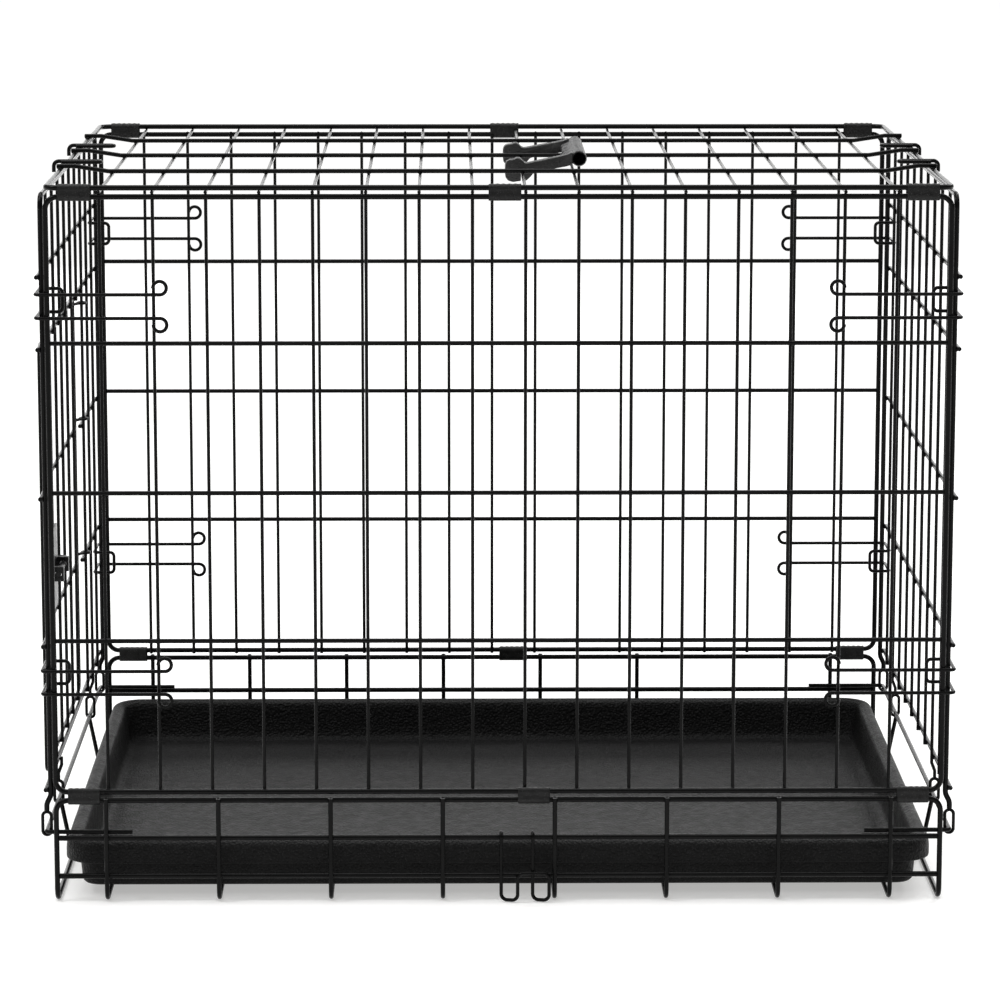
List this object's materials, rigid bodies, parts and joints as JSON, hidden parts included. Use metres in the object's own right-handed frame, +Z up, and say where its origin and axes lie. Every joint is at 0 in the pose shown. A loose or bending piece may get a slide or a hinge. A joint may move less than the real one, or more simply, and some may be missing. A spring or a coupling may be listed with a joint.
{
  "type": "folding wire dog crate",
  "caption": "Folding wire dog crate with hinged panels, fold-in ends, an end door with a slide bolt, a lift-out pan and a carry handle.",
  "frame": {"origin": "on the floor, under the middle of the base", "axes": "+Z up, +X along the length away from the door end, -Y towards the long front side"},
  "size_m": [0.6201, 0.4592, 0.4928],
  "materials": {
    "black_wire": "satin black coated steel wire",
    "clip_steel": "matte black coated sheet steel",
    "latch_steel": "satin black coated steel",
    "pan_plastic": "grained black moulded plastic",
    "handle_plastic": "black moulded plastic with a ribbed grip"
  },
  "bodies": {
    "crate": {"base_frame": "black_wire", "base_cross_wires": "black_wire", "base_front_long_wires": "black_wire", "base_back_long_wires": "black_wire", "base_floor_runners": "black_wire", "left_hinge_rod": "black_wire", "right_hinge_rod": "black_wire", "front_frame": "black_wire", "front_uprights": "black_wire", "front_bars": "black_wire", "front_catches": "black_wire", "back_frame": "black_wire", "back_uprights": "black_wire", "back_bars": "black_wire", "back_catches": "black_wire", "roof_frame": "black_wire", "roof_cross_wires": "black_wire", "roof_long_wires": "black_wire", "left_roof_hooks": "black_wire", "right_roof_hooks": "black_wire", "front_base_hinge_clips": "clip_steel", "back_base_hinge_clips": "clip_steel", "front_roof_hinge_clips": "clip_steel", "back_roof_hinge_clips": "clip_steel"},
    "left_end": {"left_end_frame": "black_wire", "left_end_uprights": "black_wire", "left_end_bars": "black_wire", "left_end_hinge_loops": "black_wire"},
    "right_end": {"right_end_frame": "black_wire", "right_end_uprights": "black_wire", "right_end_bars": "black_wire", "right_end_hinge_loops": "black_wire"},
    "door": {"door_frame": "black_wire", "door_uprights": "black_wire", "door_bars": "black_wire", "door_hinge_rings": "black_wire", "bolt_plate": "latch_steel"},
    "door_bolt": {"door_bolt": "latch_steel"},
    "pan": {"pan": "pan_plastic"},
    "carry_handle": {"handle_grip": "handle_plastic", "handle_arms": "handle_plastic"},
    "fold_latch": {"fold_latch": "black_wire"}
  },
  "joints": [
    {"name": "left_end_fold", "type": "hinge", "parent": "crate", "child": "left_end", "pos_m": [-0.3031, 0, 0.0475], "axis": [0, 1, 0], "range_deg": [0, 90]},
    {"name": "right_end_fold", "type": "hinge", "parent": "crate", "child": "right_end", "pos_m": [0.3031, 0, 0.0475], "axis": [0, -1, 0], "range_deg": [0, 84]},
    {"name": "door_swing", "type": "hinge", "parent": "left_end", "child": "door", "pos_m": [-0.30085, 0.08664, 0.22], "axis": [0, 0, 1], "range_deg": [-105, 0]},
    {"name": "bolt_slide", "type": "slide", "parent": "door", "child": "door_bolt", "axis": [0, -1, 0], "range_m": [0, 0.014]},
    {"name": "pan_lift", "type": "slide", "parent": "crate", "child": "pan", "axis": [0, 0, -1], "range_m": [-0.09, 0]},
    {"name": "handle_swing", "type": "hinge", "parent": "crate", "child": "carry_handle", "pos_m": [0.01742, -0.0426, 0.47795], "axis": [0, -1, 0], "range_deg": [0, 145]},
    {"name": "latch_swing", "type": "hinge", "parent": "crate", "child": "fold_latch", "pos_m": [0.01215, -0.2236, 0.044], "axis": [-1, 0, 0], "range_deg": [0, 145]}
  ]
}
